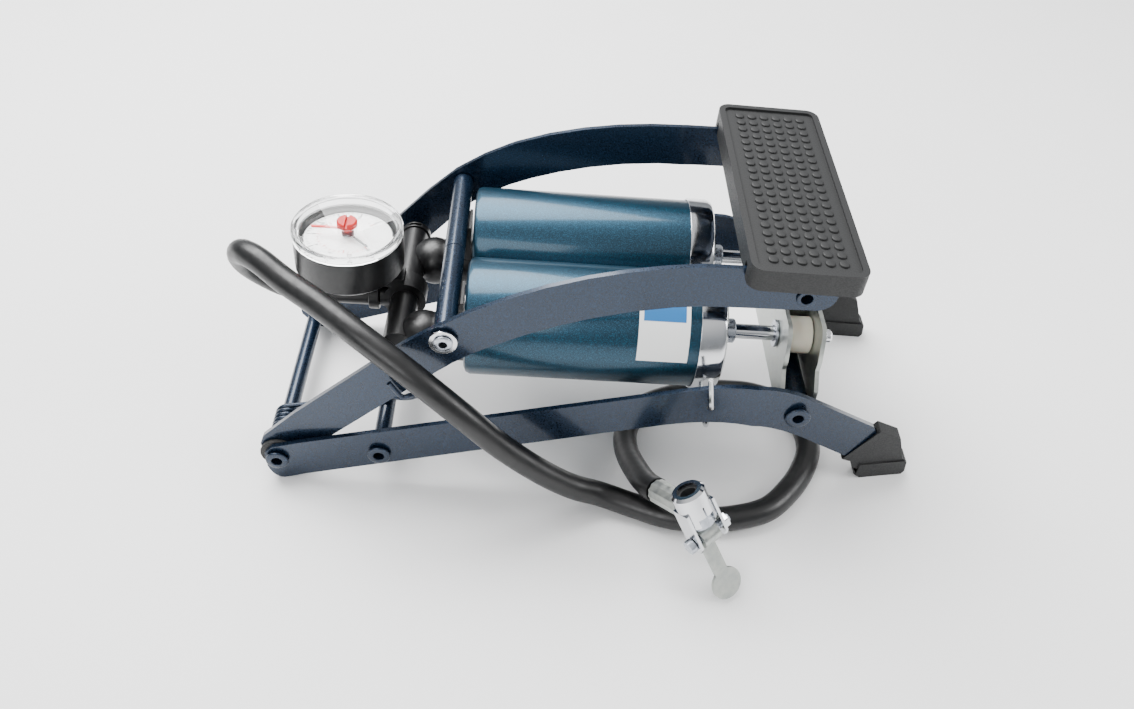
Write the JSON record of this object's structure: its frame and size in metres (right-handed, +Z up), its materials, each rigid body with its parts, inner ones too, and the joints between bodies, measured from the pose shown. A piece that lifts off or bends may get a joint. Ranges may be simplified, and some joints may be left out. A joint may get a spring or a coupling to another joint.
{
  "type": "foot pump",
  "caption": "Twin-barrel foot pump with pressure gauge, hose and thumb-lock valve chuck",
  "frame": {"origin": "on the ground under the pump, at the middle of its length and width", "axes": "+X from the rear hinge towards the pedal and the rubber feet, +Y away from the chuck side, +Z up"},
  "size_m": [0.3253, 0.1993, 0.1382],
  "materials": {
    "navy_paint": "semi-gloss metallic paint on steel strip and tube",
    "teal_paint": "glossy metallic paint with fine flakes",
    "chrome": "bright plating",
    "steel": "plain turned steel",
    "zinc": "pale zinc plating, satin",
    "rubber": "matt moulded rubber",
    "hose_rubber": "smooth satin hose rubber",
    "black_plastic": "moulded, satin",
    "nylon": "cream turned nylon",
    "fibre": "pressed fibre",
    "dial_white": "printed white dial",
    "needle_grey": "painted sheet",
    "marker_red": "moulded red",
    "clear_lens": "clear moulded window"
  },
  "bodies": {
    "base": {"base_rail_left": "navy_paint", "base_rail_right": "navy_paint", "foot_left": "rubber", "foot_right": "rubber", "hinge_washer_left": "fibre", "hinge_washer_right": "fibre", "rear_axle_tube": "navy_paint", "base_cross_tube": "navy_paint", "front_pivot_tube": "navy_paint", "return_spring": "navy_paint"},
    "latch": {"latch_wire": "chrome"},
    "treadle": {"arm_left": "navy_paint", "arm_right": "navy_paint", "pivot_tube_left": "navy_paint", "pivot_tube_right": "navy_paint", "pivot_washer_left": "chrome", "pivot_washer_right": "chrome", "cylinder_pivot_pin": "steel", "pedal_cross_tube": "navy_paint", "pedal_plate": "navy_paint", "pedal_pad": "rubber"},
    "rod_carrier": {"piston_left": "black_plastic", "piston_right": "black_plastic", "piston_seal_left": "rubber", "piston_seal_right": "rubber", "piston_rod_left": "chrome", "piston_rod_right": "chrome", "rod_washer_left": "steel", "rod_washer_right": "steel", "nylon_bush_left": "nylon", "nylon_bush_right": "nylon", "rod_nut_left": "chrome", "rod_nut_right": "chrome", "rod_bracket": "zinc"},
    "cylinders": {"barrel_left": "teal_paint", "barrel_right": "teal_paint", "front_cap_left": "chrome", "front_cap_right": "chrome", "rod_bush_left": "steel", "rod_bush_right": "steel", "rear_fitting_left": "black_plastic", "rear_fitting_right": "black_plastic", "manifold": "black_plastic", "manifold_plug": "black_plastic", "hose_collar": "black_plastic", "gauge_body": "black_plastic", "gauge_dial": "dial_white", "gauge_lens": "clear_lens", "hose_upper": "hose_rubber"},
    "needle": {"gauge_needle": "needle_grey"},
    "marker": {"gauge_marker": "marker_red"},
    "hose_end": {"hose_lower": "hose_rubber", "hose_ferrule": "zinc", "chuck_body": "chrome", "chuck_core": "steel", "chuck_seal": "rubber", "chuck_pin": "steel", "chuck_nut": "steel"},
    "lever": {"chuck_lever": "zinc"}
  },
  "joints": [
    {"name": "treadle_hinge", "type": "hinge", "parent": "base", "child": "treadle", "pos_m": [-0.15015, 0, 0.0143], "axis": [0, -1, 0], "range_deg": [0, 40], "deforming": ["return_spring"]},
    {"name": "rod_swing", "type": "hinge", "parent": "base", "child": "rod_carrier", "pos_m": [0.09715, 0, 0.0505], "axis": [0, 1, 0], "range_deg": [0, 7.45]},
    {"name": "cylinder_stroke", "type": "slide", "parent": "rod_carrier", "child": "cylinders", "axis": [-0.9969, 0, 0.0785], "range_m": [0, 0.08293]},
    {"name": "hose_flex", "type": "hinge", "parent": "cylinders", "child": "hose_end", "pos_m": [0.1885, 0, 0.6834], "axis": [0, -1, 0], "range_deg": [0, 7.45]},
    {"name": "latch_swing", "type": "hinge", "parent": "base", "child": "latch", "pos_m": [0.05635, 0, 0.0585], "axis": [0, -1, 0], "range_deg": [0, 50]},
    {"name": "needle_turn", "type": "hinge", "parent": "cylinders", "child": "needle", "pos_m": [-0.11121, 0, 0.10616], "axis": [-0.0785, 0, -0.9969], "range_deg": [0, 270]},
    {"name": "marker_turn", "type": "hinge", "parent": "cylinders", "child": "marker", "pos_m": [-0.11121, 0, 0.10616], "axis": [-0.0785, 0, -0.9969], "range_deg": [-135, 135]},
    {"name": "lever_swing", "type": "hinge", "parent": "hose_end", "child": "lever", "pos_m": [0.05214, -0.11567, 0.03185], "axis": [-0.7812, -0.5978, -0.18], "range_deg": [0, 85]}
  ],
  "couplings": [
    {"joint": "rod_swing", "follows": "treadle_hinge", "ratio": 0.18566},
    {"joint": "cylinder_stroke", "follows": "treadle_hinge", "m_per_rad": 0.11864},
    {"joint": "hose_flex", "follows": "treadle_hinge", "ratio": 0.18566}
  ]
}
